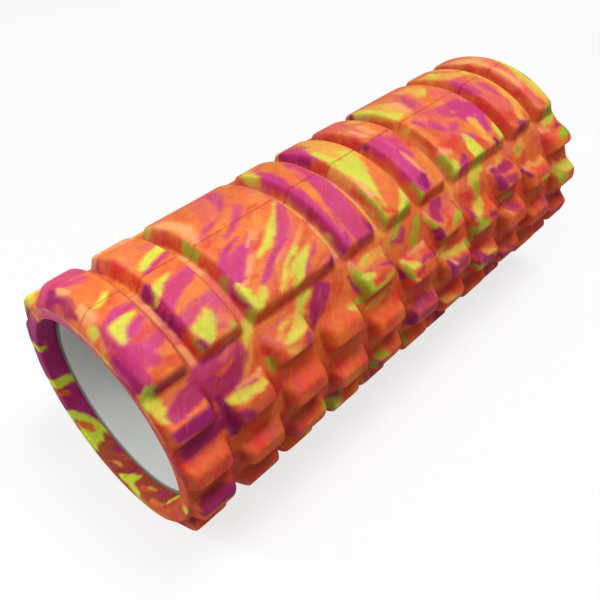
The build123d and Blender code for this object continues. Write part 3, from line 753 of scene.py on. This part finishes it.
def scatter_strokes(rng, count, phi_low, phi_high):
    """Random strokes of the same make, bowed and thin at their ends."""
    letters = "M" * 11 + "O" * 7 + "Y" * 7 + "D" * 2 + "P" * 2 + "R" * 4 + "K" * 3 + "S" * 3 + "G" * 2
    strokes = []
    for _ in range(count):
        letter = letters[rng.randint(len(letters))]
        x, phi = rng.uniform(-168, 168), rng.uniform(phi_low, phi_high)
        lean = np.radians(32 + 45 * np.clip((x + 90) / 120, 0, 1) + rng.normal(0, 16))
        length = rng.uniform(9, 34)
        bend = rng.normal(0, 0.22)
        width = rng.uniform(1.2, 4.6) if letter in "YGPDK" else rng.uniform(2.4, 6.5)
        points = []
        for t in (-1, -0.35, 0.35, 1):
            a = lean + bend * t
            points.append((x + np.cos(a) * length * t / 2,
                           phi - np.sin(a) * length * t / 2 / ARC,
                           width * (1 - 0.75 * t * t) * rng.uniform(0.8, 1.2)))
        strokes.append((letter, points, rng.uniform(0.7, 2.6)))
    return strokes


# the parts of the sleeve that face away, and two strokes low on the near back
AWAY_STROKES = scatter_strokes(np.random.RandomState(73), 340, 110, 320) + read_strokes("""
Y 0.8: -158 -56 2.6, -150 -54 3.4, -146 -50 1.6
K 1.4: -100 -56 3, -90 -55 3.4
""")


# ------------------------------------------------------------------ painting
def blend(under, over, weight):
    return under * (1 - weight) + over * weight


def wrap_angle(angle):
    return (angle + 180.0) % 360.0 - 180.0


def flow_coords(x, angle):
    """Places across and along the fine streaks, in mm."""
    lean = np.radians(FLOW)
    across = x * np.sin(lean) + angle * ARC * np.cos(lean)
    along = x * np.cos(lean) - angle * ARC * np.sin(lean)
    return across, along


def lay_strokes(colour, x, phi, shift, strokes, arc, fine, broad, mottle, widen=1.0):
    """Lay tapered strokes over colour, in place.

    Angles are compared the short way round. shift moves points sideways in mm, arc is
    mm per degree; fine and broad are streak noises and mottle a cloudy one.
    """
    for letter, points, softness in strokes:
        px, point_phi, widths = np.array(points, float).T
        mid_phi = (point_phi.min() + point_phi.max()) / 2
        pv = (point_phi - mid_phi) * arc
        widths = widths * widen
        pad = max(widths) + softness * 2 + 3
        v = ((phi - mid_phi + 180.0) % 360.0 - 180.0) * arc + shift
        mask = (x > px.min() - pad) & (x < px.max() + pad) & (v > pv.min() - pad) & (v < pv.max() + pad)
        if not mask.any():
            continue
        near_x, near_v = x[mask], v[mask]
        inside = np.full(near_x.shape, -1e9)    # depth inside the stroke's edge
        side, along, run = np.zeros(near_x.shape), np.zeros(near_x.shape), 0.0
        for i in range(len(points) - 1):
            dx, dy = px[i + 1] - px[i], pv[i + 1] - pv[i]
            length = np.hypot(dx, dy) + 1e-6
            reach = ((near_x - px[i]) * dx + (near_v - pv[i]) * dy) / length
            t = np.clip(reach / length, 0, 1)
            distance = np.hypot(near_x - px[i] - t * dx, near_v - pv[i] - t * dy)
            depth = widths[i] + (widths[i + 1] - widths[i]) * t - distance
            wins = depth > inside
            inside = np.where(wins, depth, inside)
            offset = ((near_x - px[i]) * dy - (near_v - pv[i]) * dx) / length
            side = np.where(wins, offset, side)
            along = np.where(wins, run + reach, along)
            run += length
        # the edge frays along the stroke: long thin tongues at its ends
        key = px[0] * 0.37 + mid_phi * 0.19
        fray = noise3(side / 1.25 + key, along / 9.0, key, 91)
        inside = inside + (0.35 + 0.42 * min(softness, 2.4)) * fray
        inside = inside + 0.35 * broad[mask] * min(softness, 1.5)
        cover = np.clip(inside / (0.46 * softness + 0.64) * 0.5 + 0.5, 0, 1)
        cover = cover * cover * (3 - 2 * cover) * (0.97 if softness < 1.5 else 0.90)
        if letter == "M" and softness >= 1.7:
            cover = cover * (0.93 - 0.24 * np.clip(fray + 0.35 * fine[mask], 0, 1))
        tint = COLOURS[letter]
        if letter == "M":
            # painted shade: magenta turns plum away from the crown
            tint = blend(tint, COLOURS["N"], min(max((abs(wrap_angle(mid_phi)) - 39) / 10, 0), 1))
        if letter == "Y":
            tint = tint * (1 + np.array([0.06, 0.03, 0.0]) * mottle[mask][..., None] * 2)
        else:
            tint = tint * (1 + 0.07 * broad[mask][..., None])
        colour[mask] = blend(colour[mask], tint, cover[..., None])
    return colour


def paint_skin(x, phi):
    """Linear colour for points of the unrolled sleeve."""
    angle = wrap_angle(phi)
    turn = np.radians(phi)
    point = x, SKIN_R * np.sin(turn), SKIN_R * np.cos(turn)
    coarse_x, coarse_v = noise_at(point, 9, seed=3), noise_at(point, 9, seed=7)
    small_x, small_v = noise_at(point, 3.4, seed=11), noise_at(point, 3.4, seed=13)
    warped_x = x + (0.9 * coarse_x + 0.5 * small_x)
    shift = 0.9 * coarse_v + 0.5 * small_v
    across, along = flow_coords(x, angle)
    fine = noise3(across / 2.8, along / 14, 2.5, 21)
    broad = noise3(across / 5.0, along / 30, 5.5, 22)
    hair = noise3(across / 1.7, along / 19, 7.5, 23)

    # ground, with painted shade: the sides are a deeper orange than the crown
    flank = np.clip((np.abs(angle) - 44) / 18, 0, 1)[..., None]
    orange = blend(COLOURS["O"], COLOURS["Q"], flank)
    light = blend(COLOURS["P"], COLOURS["O"], flank)
    tone = np.clip(0.5 + 0.5 * noise_at(point, 17, seed=31) + 0.35 * broad, 0, 1)[..., None]
    colour = (orange + (light - orange) * np.clip(tone * 2 - 1.25, 0, 1) * 0.6
              + (COLOURS["R"] - orange) * np.clip(0.7 - tone * 2, 0, 1) * 0.55)
    # dark red patches at random, with more of them on the sides as painted shade
    deep = np.clip(noise_at(point, 13, seed=37) * 2.2 - 0.25 + 0.5 * fine, 0, 1)[..., None]
    colour = blend(colour, np.array((0.60, 0.055, 0.040)), deep * (0.18 + 0.42 * flank))

    # thin half-mixed streaks everywhere
    # fewer pink streaks on the sides, as painted shade
    pink = np.clip(fine * 1.5 + 0.6 * coarse_x - 0.05, 0, 1)[..., None] * (0.62 - 0.34 * flank)
    colour = blend(colour, COLOURS["S"], pink)
    hot = np.clip(hair * 1.6 - 0.5 * coarse_v - 0.30, 0, 1)[..., None] * 0.45
    colour = blend(colour, COLOURS["R"], hot)

    for strokes, widen in ((AWAY_STROKES, 1.0), (SKIN_STROKES, 1.16)):
        lay_strokes(colour, warped_x, phi, shift, strokes, ARC, fine, broad, coarse_x, widen)
    return np.clip(colour, 0.003, 1.0)


def paint_ring(colour, x, r, phi):
    """End face and bore wall of either end, worked over the given colours."""
    # the far end reads the same strokes, mirrored
    angle = np.where(x < 0, phi, 131.0 - phi)
    u = (r - BORE_R) - (HALF_LEN - np.abs(x))
    turn = np.radians(angle)
    y, z = 58 * np.sin(turn), 58 * np.cos(turn)
    point = y, z, u
    coarse_u, coarse_v = noise_at(point, 5, seed=81), noise_at(point, 5, seed=82)
    small_u, small_v = noise_at(point, 1.9, seed=83), noise_at(point, 1.9, seed=84)
    fine = noise3(y / 2.6, z / 2.6, u / 5, 85)
    broad = noise3(y / 7, z / 7, u / 9, 86)
    ground = (COLOURS["R"] * (0.5 - 0.5 * coarse_u)[..., None]
              + COLOURS["D"] * (0.5 + 0.5 * coarse_u)[..., None])
    colour = blend(colour, ground, np.clip(-u / 1.5 + 0.3, 0, 1)[..., None])
    return lay_strokes(colour, u + 0.6 * coarse_u + 0.35 * small_u, angle,
                       0.6 * coarse_v + 0.35 * small_v, RING_STROKES, RING_ARC,
                       fine, broad, coarse_u)


def paint_shade_and_highlight(colour, x, phi):
    """Painted shade: darken walls, channels and the feet of walls. Painted highlight: lighten the
    raised edges.
    """
    h = height(x, phi)
    rise = np.zeros(x.shape)     # how much higher the surroundings stand
    for k in range(8):
        for reach, weight in ((1.2, 0.75), (2.6, 0.25)):
            a = np.pi * (k + 0.5) / 4
            around = height(x + reach * np.cos(a), phi + reach * np.sin(a) / 1.15)
            rise += weight * (around - h) / 8
    slope = np.hypot(height(x + 0.4, phi) - height(x - 0.4, phi),
                     height(x, phi + 0.35) - height(x, phi - 0.35)) / 0.8
    wall = np.clip(slope / 1.6 - 0.15, 0, 1)[..., None]
    low = np.clip(rise / 1.15 - 0.08, 0, 1)[..., None]
    high = np.clip(-rise / 1.4, 0, 1)[..., None]
    flank = np.clip((np.abs(((phi + 90) % 180) - 90) - 40) / 8, 0, 1)
    # painted shade, deeper in the channels and strongest on the flanks
    sunk = (np.clip(1 - h / 6.0, 0, 1) * (0.06 + 0.22 * flank))[..., None]
    colour = colour * (1 - wall * np.array([0.13, 0.28, 0.18]))
    colour *= 1 - sunk * np.array([0.60, 1.20, 1.15])
    colour *= 1 - low * np.array([0.34, 0.54, 0.50])
    # painted highlight on the raised edges
    colour *= 1 + high * np.array([0.05, 0.16, 0.22])
    return np.clip(colour, 0.003, 1.0)


# ------------------------------------------------------------------ meshes
def loop_quads(rows, columns, closed):
    """Quads of a grid whose rows are closed loops; closed joins the last row to the first."""
    index = np.arange(rows * columns).reshape(rows, columns)
    after = np.roll(index, -1, 0)
    quads = np.stack([index, after, np.roll(after, -1, 1), np.roll(index, -1, 1)], -1)
    return (quads if closed else quads[:-1]).reshape(-1, 4).tolist()


def new_mesh(name, x, y, z, faces):
    """Mesh from coordinate grids in mm."""
    mesh = bpy.data.meshes.new(name)
    points = np.stack([x, y, z], -1).reshape(-1, 3) * MM
    mesh.from_pydata(points.tolist(), [], faces)
    return mesh


def shade_smooth(mesh, sharp_angle=None):
    """Outward normals and smooth faces, with sharp edges above sharp_angle (radians)."""
    bm = bmesh.new()
    bm.from_mesh(mesh)
    bmesh.ops.recalc_face_normals(bm, faces=bm.faces)
    for face in bm.faces:
        face.smooth = True
    if sharp_angle is not None:
        for edge in bm.edges:
            if len(edge.link_faces) == 2 and edge.calc_face_angle(0.0) > sharp_angle:
                edge.smooth = False
    bm.to_mesh(mesh)
    bm.free()


def add_object(name, data):
    ob = bpy.data.objects.new(name, data)
    bpy.context.scene.collection.objects.link(ob)
    return ob


def x_stations():
    """Stations along the sleeve, dense on the walls and their rounded edges."""
    def end_stations(count):
        depths = [0.0, 0.12, 0.35, 0.7, 1.15] + list(np.linspace(1.7, 9.0, count))
        return [-HALF_LEN + depth for depth in depths]

    inner = []
    for column in range(COLUMNS):
        centre = column_x(column)
        inner += list(centre + np.linspace(-7.6, 7.6, 13))
        for sign in (-1, 1):
            inner += list(centre + sign * np.linspace(8.3, 14.3, 9))
    middle = sorted(x for x in inner if abs(x) < HALF_LEN - 9.3)
    stations = end_stations(13) + middle + [-x for x in reversed(end_stations(11))]
    kept = [stations[0]]
    for x in stations[1:]:
        if x - kept[-1] > 0.1:
            kept.append(x)
    return np.array(kept)


def phi_stations():
    """Angles of one half, from seam to seam, dense off the bands."""
    seam = [np.degrees(d / SKIN_R) for d in (SEAM_HALF, 0.16, 0.32, 0.55, 0.85, 1.3, 2.0)]
    band = list(np.linspace(2.7, 33.8, 38))
    band_edge = list(np.linspace(34.6, 42.5, 15))
    flank = list(np.linspace(43.2, 90.0, 60))
    quarter = seam + band + band_edge + flank
    return np.array(quarter + [180 - v for v in reversed(quarter[:-1])])


def seam_drop(x, distance, seed):
    """How far the surface rolls in towards the butt seam at this distance in mm."""
    width = 0.50 + 0.26 * noise3(x / 5.3, 1.3, 0.0, seed) + 0.22 * noise3(x / 1.7, 4.1, 0.0, seed + 1)
    width = np.clip(width, 0.12, 1.1)
    q = np.clip(1 - distance / width, 0, 1)
    return 0.62 * width * (1 - np.sqrt(np.clip(1 - q * q, 0, 1)))


def outer_radius(x, phi, half_angles, side):
    """Outer surface of one half: blocks, waviness, rolled seams and rounded rims."""
    turn = np.radians(phi)
    point = x, 60 * np.sin(turn), 60 * np.cos(turn)
    r = FLOOR_R + height(x, phi)
    r += 0.10 * noise_at(point, 23, seed=41)
    r += 0.045 * noise_at(point, 6, seed=42)
    distance = np.minimum(np.radians(np.abs(half_angles)),
                          np.radians(np.abs(180 - half_angles)))[:, None] * SKIN_R
    first_quarter = (half_angles < 90)[:, None]
    at_top = first_quarter if side > 0 else ~first_quarter
    r -= np.where(at_top, seam_drop(x, distance, seed=50), seam_drop(x, distance, seed=60))
    r = np.minimum(r, TOP_R)
    from_end = HALF_LEN - np.abs(x)
    bite = np.clip(RIM_R - from_end, 0, RIM_R)
    r -= RIM_R - np.sqrt(np.clip(RIM_R ** 2 - bite ** 2, 0, None))
    return r


# stations down the end faces, in sevenths of the way from the rim to the bore
FAR_FACE = np.array([1.8, 3.6, 5.4])
NEAR_FACE = np.array([6.0, 5.0, 4.0, 3.0, 2.0, 1.0])
# depths of the bore's stations from its far and near ends, mm
FAR_BORE = [0.05, 0.3, 0.8, 2.4, 4.2, 6.0, 8.0, 10.5]
NEAR_BORE = [0.05, 0.3, 0.8, 1.5, 2.3, 3.1, 3.9, 4.7, 5.5, 6.3, 7.1, 7.9, 8.7, 9.6, 11.0]


def close_profile(x, r, phis):
    """Close each profile: outer surface, far face, bore, near face."""
    def across_face(edge, sevenths):
        return edge + (BORE_R + MOUTH_ROUND - edge) * (sevenths / 7.0)[None, :]

    face_x = HALF_LEN + 0.05 * noise3(phis[:, None] / 7, 0.0, 0.0, 71)
    bore_x = np.array([HALF_LEN - v for v in FAR_BORE] + [60, -60]
                      + [v - HALF_LEN for v in reversed(NEAR_BORE)])
    flare = [0.62, 0.22]
    bore_r = np.array(flare + [0.0] * (len(bore_x) - 4) + flare[::-1]) + BORE_R
    loop_x = [x, np.repeat(face_x - 0.02, len(FAR_FACE), 1),
              np.repeat(bore_x[None, :], len(phis), 0),
              np.repeat(-face_x + 0.02, len(NEAR_FACE), 1)]
    loop_r = [r, across_face(r[:, -1:], FAR_FACE),
              np.repeat(bore_r[None, :], len(phis), 0),
              across_face(r[:, :1], NEAR_FACE)]
    return np.clip(np.concatenate(loop_x, 1), -HALF_LEN, HALF_LEN), np.concatenate(loop_r, 1)


def sleeve_colours(x, r, phi, outer_count, side):
    """Colours of the closed profiles; the first outer_count columns are the outside."""
    off_skin = np.zeros(x.shape, bool)
    off_skin[:, outer_count:] = True
    # the skin's colours carry on over the end faces
    drop = np.clip(SKIN_R - r, 0, 12)
    skin_x = np.where(off_skin, np.sign(x) * (HALF_LEN - 1.0 + drop * 0.9), x)
    colour = paint_skin(skin_x, phi)
    colour[off_skin] = paint_ring(colour[off_skin], x[off_skin], r[off_skin], phi[off_skin])
    # low on the +Y half the near face and its rim carry on the bore wall's colours
    if side < 0:
        row_phi = phi[:, :1]
        low = np.clip((322 - row_phi) / 22, 0, 1) * np.clip((row_phi - 186) / 14, 0, 1)
        face_count = len(NEAR_FACE)
        mouth = colour[:, -face_count - 3][:, None].copy()
        for columns, share in ((slice(-face_count, None), 1.0), (slice(0, 3), 1.0),
                               (slice(3, 4), 0.6), (slice(4, 5), 0.25)):
            colour[:, columns] = blend(colour[:, columns], mouth, (low * share)[..., None])
    return colour


def sleeve_half(name, side):
    """side +1 is the -Y half (phi 0..180), -1 the +Y half (phi 180..360)."""
    half_angles = phi_stations()
    phis = half_angles if side > 0 else half_angles + 180.0
    outer_x, outer_phi = np.meshgrid(x_stations(), phis)
    outer_count = outer_x.shape[1]
    outer_r = outer_radius(outer_x, outer_phi, half_angles, side)
    x, r = close_profile(outer_x, outer_r, phis)
    turn = np.radians(np.repeat(phis[:, None], x.shape[1], 1))
    y, z = -r * np.sin(turn), r * np.cos(turn)
    y[[0, -1]] = -side * SEAM_HALF

    rows, columns = x.shape
    faces = loop_quads(rows, columns, closed=False)
    first_cap = list(range(columns))
    last_cap = list(range(rows * columns - 1, (rows - 1) * columns - 1, -1))
    mesh = new_mesh(name, x, y, z, faces + [first_cap, last_cap])
    mesh.validate()

    phi = np.degrees(turn)
    colour = sleeve_colours(x, r, phi, outer_count, side)
    # painted shade on walls and channels, painted highlight on raised edges
    colour[:, :outer_count] = paint_shade_and_highlight(colour[:, :outer_count], outer_x, outer_phi)
    rgba = np.concatenate([colour, np.ones(colour.shape[:2] + (1,))], -1).astype(np.float32)
    marble = mesh.color_attributes.new("marble", "FLOAT_COLOR", "POINT")
    marble.data.foreach_set("color", rgba.reshape(-1))
    # unbroken over the top seam, so that the streaks run on across it
    flow_t, flow_s = flow_coords(x, phi if side > 0 else phi - 360.0)
    for key, values in (("phi", phi), ("rad", r), ("flow_t", flow_t), ("flow_s", flow_s)):
        attribute = mesh.attributes.new(key, "FLOAT", "POINT")
        attribute.data.foreach_set("value", values.astype(np.float32).ravel())

    ob = add_object(name, mesh)
    bpy.context.view_layer.objects.active = ob
    shade_smooth(mesh, sharp_angle=0.9)
    return ob


def core_tube():
    """Tube with rolled rims."""
    segments = 192
    rim = [(0.0, 0.9), (0.12, 0.45), (0.5, 0.12), (1.1, 0.0)]   # depth from the end, inset
    outline = ([(-TUBE_HALF_LEN + depth, inset) for depth, inset in rim]
               + [(x, 0.0) for x in (-100, -50, 0, 50, 100)]
               + [(TUBE_HALF_LEN - depth, inset) for depth, inset in reversed(rim)])
    profile = ([(x, TUBE_R - inset) for x, inset in outline]
               + [(x, TUBE_R - TUBE_WALL + inset) for x, inset in reversed(outline)])
    profile_x, profile_r = np.array(profile, float).T
    turn = (np.arange(segments) / segments * 2 * np.pi)[:, None]
    name = "core_tube_shell"
    mesh = new_mesh(name, np.repeat(profile_x[None], segments, 0),
                    np.sin(turn) * profile_r, np.cos(turn) * profile_r,
                    loop_quads(segments, len(profile), closed=True))
    shade_smooth(mesh)
    return add_object(name, mesh)


# ------------------------------------------------------------------ materials
class Shading:
    """A new material around one Principled shader, with helpers that add nodes."""

    def __init__(self, name):
        self.material = bpy.data.materials.new(name)
        self.material.use_nodes = True
        self.tree = self.material.node_tree
        self.tree.nodes.clear()
        self.output = self.add("ShaderNodeOutputMaterial")
        self.surface = self.add("ShaderNodeBsdfPrincipled")
        self.feed(self.output.inputs[0], self.surface.outputs[0])
        self.position = self.add("ShaderNodeTexCoord").outputs["Object"]

    def feed(self, socket, value):
        """Link an output socket, or set a plain value."""
        if isinstance(value, bpy.types.NodeSocket):
            self.tree.links.new(value, socket)
        else:
            socket.default_value = value

    def feed_all(self, node, inputs):
        for key, value in inputs.items():
            self.feed(node.inputs[key], value)

    def add(self, kind, inputs=None, **settings):
        node = self.tree.nodes.new(kind)
        for key, value in settings.items():
            setattr(node, key, value)
        self.feed_all(node, inputs or {})
        return node

    def attribute(self, name, output="Fac"):
        return self.add("ShaderNodeAttribute", attribute_name=name).outputs[output]

    def noise(self, vector, scale, detail, rough=0.55, distort=0.0):
        return self.add("ShaderNodeTexNoise", {
            "Vector": vector, "Scale": scale, "Detail": detail,
            "Roughness": rough, "Distortion": distort}).outputs[0]

    def ramp(self, value, span, out=(0.0, 1.0)):
        """Smooth step from out[0] to out[1] while value crosses span."""
        return self.add("ShaderNodeMapRange",
                        {0: value, 1: span[0], 2: span[1], 3: out[0], 4: out[1]},
                        interpolation_type="SMOOTHSTEP").outputs[0]

    def math(self, operation, a, b=0.0):
        return self.add("ShaderNodeMath", {0: a, 1: b}, operation=operation).outputs[0]

    def mix(self, factor, a, b, blend_type="MIX"):
        return self.add("ShaderNodeMix", {0: factor, 6: a, 7: b},
                        data_type="RGBA", blend_type=blend_type).outputs[2]

    def multiply(self, colour, tint):
        return self.mix(1.0, colour, tint, "MULTIPLY")

    def bump(self, height, strength, distance):
        bump = self.add("ShaderNodeBump",
                        {"Strength": strength, "Distance": distance, "Height": height})
        self.feed(self.surface.inputs["Normal"], bump.outputs[0])


def add_hair_streaks(sh, colour):
    """Hair-thin streaks of half-mixed foam, drawn along the flow of the marbling."""
    across = sh.attribute("flow_t")
    along = sh.attribute("flow_s")
    warp = sh.noise(sh.position, scale=140.0, detail=3.0, rough=0.6)
    flow = sh.add("ShaderNodeCombineXYZ", {
        0: sh.math("ADD", sh.math("MULTIPLY", across, 0.42), sh.math("MULTIPLY", warp, 1.3)),
        1: sh.math("MULTIPLY", along, 0.060)}).outputs[0]
    thin = sh.noise(flow, scale=1.0, detail=3.0, rough=0.55, distort=0.2)
    wide = sh.noise(flow, scale=0.42, detail=3.0, rough=0.6, distort=0.3)
    patch = sh.noise(sh.position, scale=38.0, detail=2.0, rough=0.5)
    light = sh.math("MULTIPLY", sh.ramp(thin, span=(0.53, 0.66)),
                    sh.ramp(patch, span=(0.40, 0.62), out=(0.02, 0.12)))
    colour = sh.mix(light, colour, (0.93, 0.31, 0.10, 1.0))
    dark = sh.math("MULTIPLY", sh.ramp(thin, span=(0.46, 0.34)),
                   sh.ramp(patch, span=(0.60, 0.38), out=(0.02, 0.17)))
    colour = sh.mix(dark, colour, (0.66, 0.075, 0.120, 1.0))
    golden = sh.ramp(wide, span=(0.58, 0.72), out=(0.0, 0.09))
    return sh.mix(golden, colour, (0.88, 0.50, 0.14, 1.0))


def foam_material():
    sh = Shading("marbled_eva_foam")
    marble = sh.attribute("marble", "Color")
    phi = sh.attribute("phi")
    # fine mottling of the foam skin
    cloud = sh.noise(sh.position, scale=90.0, detail=4.0, rough=0.6, distort=0.4)
    hue = sh.ramp(cloud, span=(0.3, 0.7), out=(0.488, 0.512))
    speckle = sh.noise(sh.position, scale=420.0, detail=3.0, rough=0.6)
    value = sh.ramp(speckle, span=(0.25, 0.75), out=(0.93, 1.07))
    colour = sh.add("ShaderNodeHueSaturation",
                    {"Color": marble, "Hue": hue, "Value": value}).outputs["Color"]
    colour = add_hair_streaks(sh, colour)
    # faint painted highlight on edges, painted shade in the channels
    pointiness = sh.add("ShaderNodeNewGeometry").outputs["Pointiness"]
    edge = sh.ramp(pointiness, span=(0.54, 0.64), out=(0.0, 0.08))
    colour = sh.mix(edge, colour, (1.0, 0.55, 0.36, 1.0))
    cavity = sh.ramp(pointiness, span=(0.48, 0.42), out=(0.0, 0.5))
    colour = sh.mix(cavity, colour, sh.multiply(colour, (0.62, 0.42, 0.42, 1.0)))
    # wavering glue line along the butt seams, where sin(phi) nears zero
    radians_per_degree = 0.0174533
    seam = sh.math("ABSOLUTE", sh.math("SINE", sh.math("MULTIPLY", phi, radians_per_degree)))
    waver = sh.noise(sh.position, scale=260.0, detail=3.0, rough=0.7, distort=0.8)
    from_seam = sh.math("ADD", seam, sh.ramp(waver, span=(0.3, 0.7), out=(0.006, -0.006)))
    line = sh.ramp(from_seam, span=(0.0110, 0.0015), out=(0.0, 0.55))
    colour = sh.mix(line, colour, sh.multiply(colour, (0.62, 0.32, 0.22, 1.0)))
    # moulded closed-cell skin: soft pebble, fine grain and tiny pores in patches
    pebble = sh.noise(sh.position, scale=330.0, detail=3.0, rough=0.6)
    grain = sh.noise(sh.position, scale=1500.0, detail=2.0, rough=0.6)
    pores = sh.add("ShaderNodeTexVoronoi", {"Scale": 520.0, "Vector": sh.position}, feature="F1")
    pit = sh.ramp(pores.outputs["Distance"], span=(0.0, 0.16))
    patch = sh.noise(sh.position, scale=60.0, detail=2.0)
    pit = sh.math("MAXIMUM", pit, sh.ramp(patch, span=(0.62, 0.5)))
    relief = sh.math("ADD", sh.math("MULTIPLY", pebble, 0.5),
                     sh.math("ADD", sh.math("MULTIPLY", grain, 0.25),
                             sh.math("MULTIPLY", pit, 0.3)))
    sh.bump(relief, strength=0.35, distance=0.00022)
    sh.feed_all(sh.surface, {
        "Base Color": colour,
        "Roughness": sh.ramp(cloud, span=(0.3, 0.7), out=(0.46, 0.60)),
        "Specular IOR Level": 0.17,
        "Sheen Weight": 0.0,
        "Sheen Roughness": 0.5,
        "Sheen Tint": (1.0, 0.75, 0.65, 1.0),
        "Subsurface Weight": 0.0})
    return sh.material


def core_material():
    sh = Shading("grey_core_plastic")
    cloud = sh.noise(sh.position, scale=28.0, detail=3.0, rough=0.5)
    grain = sh.noise(sh.position, scale=300.0, detail=3.0, rough=0.6)
    colour = sh.mix(sh.ramp(cloud, span=(0.3, 0.7)), (0.73, 0.76, 0.73, 1), (0.78, 0.805, 0.78, 1))
    # painted shade: dark rims at both ends
    x = sh.add("ShaderNodeSeparateXYZ", {0: sh.position}).outputs[0]
    rim = sh.ramp(sh.math("ABSOLUTE", x), out=(0.0, 0.85),
                  span=((TUBE_HALF_LEN - 1.6) * MM, (TUBE_HALF_LEN - 0.3) * MM))
    colour = sh.mix(rim, colour, (0.10, 0.075, 0.06, 1))
    # faint draw lines along the tube
    stretched = sh.add("ShaderNodeMapping", {"Scale": (0.03, 1.0, 1.0), "Vector": sh.position})
    draw = sh.noise(stretched.outputs[0], scale=900.0, detail=2.0, rough=0.5)
    relief = sh.math("ADD", sh.math("MULTIPLY", draw, 0.6), sh.math("MULTIPLY", grain, 0.4))
    sh.bump(relief, strength=0.18, distance=0.0002)
    sh.feed_all(sh.surface, {
        "Base Color": colour,
        "Roughness": sh.ramp(grain, span=(0.3, 0.7), out=(0.42, 0.55)),
        "Specular IOR Level": 0.4})
    return sh.material


def glue_material():
    sh = Shading("dried_contact_adhesive")
    cloud = sh.noise(sh.position, scale=120.0, detail=4.0, rough=0.6, distort=0.5)
    colour = sh.mix(sh.ramp(cloud, span=(0.3, 0.7)),
                    (0.045, 0.026, 0.016, 1), (0.13, 0.075, 0.035, 1))
    sh.bump(cloud, strength=0.6, distance=0.0003)
    sh.feed_all(sh.surface, {
        "Base Color": colour,
        "Roughness": sh.ramp(cloud, span=(0.3, 0.7), out=(0.35, 0.7))})
    return sh.material


def floor_material():
    sh = Shading("pale_floor")
    cloud = sh.noise(sh.position, scale=3.0, detail=2.0)
    camera_ray = sh.add("ShaderNodeLightPath").outputs["Is Camera Ray"]
    # darker for bounced light than for the camera
    colour = sh.mix(cloud, (0.93, 0.93, 0.93, 1), (0.95, 0.95, 0.95, 1))
    colour = sh.mix(camera_ray, (0.42, 0.42, 0.42, 1), colour)
    sh.feed_all(sh.surface, {"Base Color": colour, "Roughness": 0.9, "Specular IOR Level": 0.0})
    # lifted towards paper white for the camera only
    glow = sh.add("ShaderNodeEmission", {"Strength": 1.02})
    lifted = sh.add("ShaderNodeMixShader", {
        0: sh.math("MULTIPLY", camera_ray, 0.72),
        1: sh.surface.outputs[0],
        2: glow.outputs[0]})
    sh.feed(sh.output.inputs[0], lifted.outputs[0])
    return sh.material


# ------------------------------------------------------------------ pieces
foam, core, glue = foam_material(), core_material(), glue_material()
front = sleeve_half("foam_sleeve_front", 1)
back = sleeve_half("foam_sleeve_back", -1)
tube = core_tube()
for ob, material, slot_name, cad_name in (
        (front, foam, "foam", "foam_half_front"),
        (back, foam, "foam", "foam_half_back"),
        (tube, core, "core", "core_tube")):
    ob.data.materials.append(material)
    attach(ob, "root")
    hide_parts(cad_name)

# the glue pieces keep their CAD shapes
for name in ("bond_film", "seam_glue_top", "seam_glue_bottom"):
    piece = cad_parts[name]
    for slot in piece.material_slots:
        slot.material = glue
    if not piece.material_slots:
        piece.data.materials.append(glue)

# ------------------------------------------------------------------ stage, in metres
FLOOR_HALF = 6.0
FLOOR_Z = -(TOP_R + 0.2) * MM      # 0.2 mm below the sleeve

floor_mesh = bpy.data.meshes.new("floor")
floor_mesh.from_pydata([(sx * FLOOR_HALF, sy * FLOOR_HALF, FLOOR_Z)
                        for sx, sy in ((-1, -1), (1, -1), (1, 1), (-1, 1))],
                       [], [(0, 1, 2, 3)])
floor = add_object("floor", floor_mesh)
floor.data.materials.append(floor_material())

world = bpy.data.worlds.new("studio")
bpy.context.scene.world = world
world.use_nodes = True
background = world.node_tree.nodes["Background"]
background.inputs["Color"].default_value = (1.0, 1.0, 1.0, 1)
background.inputs["Strength"].default_value = 0.33


def area_light(name, location, target, size, power):
    """Square area light aimed at target."""
    light = bpy.data.lights.new(name, "AREA")
    light.energy = power
    light.size = size
    ob = add_object(name, light)
    ob.location = location
    ob.rotation_mode = "QUATERNION"
    ob.rotation_quaternion = (Vector(target) - Vector(location)).to_track_quat("-Z", "Y")
    return ob


area_light("key", location=(0.28, -0.20, 1.50), target=(0, 0, 0), size=0.65, power=13.2)
area_light("bore", location=(-0.80, 0.06, 1.15), target=(-0.1, 0, 0), size=0.6, power=4.7)
# a small soft beam into the near mouth, which brightens the lower front of the tube
mouth_light = area_light("mouth", location=(-0.40, 0.22, 0.26), target=(-0.146, -0.026, -0.034),
                         size=0.08, power=0.034)
mouth_light.data.spread = 0.70
mouth_light.visible_camera = False

# ------------------------------------------------------------------ camera
CAMERA_RIGHT = (0.68711, -0.72623, 0.02157)
CAMERA_UP = (0.50036, 0.49451, 0.71070)
CAMERA_BACK = (-0.52680, -0.47754, 0.70316)
CAMERA_PLACE = Vector((-246.79567, -196.91842, 273.35756)) * MM

lens = bpy.data.cameras.new("camera")
lens.lens = 41.65256
lens.sensor_width = 36.0
lens.clip_start, lens.clip_end = 0.01, 50
camera = add_object("camera", lens)
camera.matrix_world = Matrix((
    (*CAMERA_RIGHT, 0), (*CAMERA_UP, 0), (*CAMERA_BACK, 0), (*CAMERA_PLACE, 1))).transposed()
bpy.context.scene.camera = camera

view = bpy.context.scene.view_settings
view.view_transform = "Standard"
view.look = "None"
view.exposure = 0.0
view.gamma = 1.0
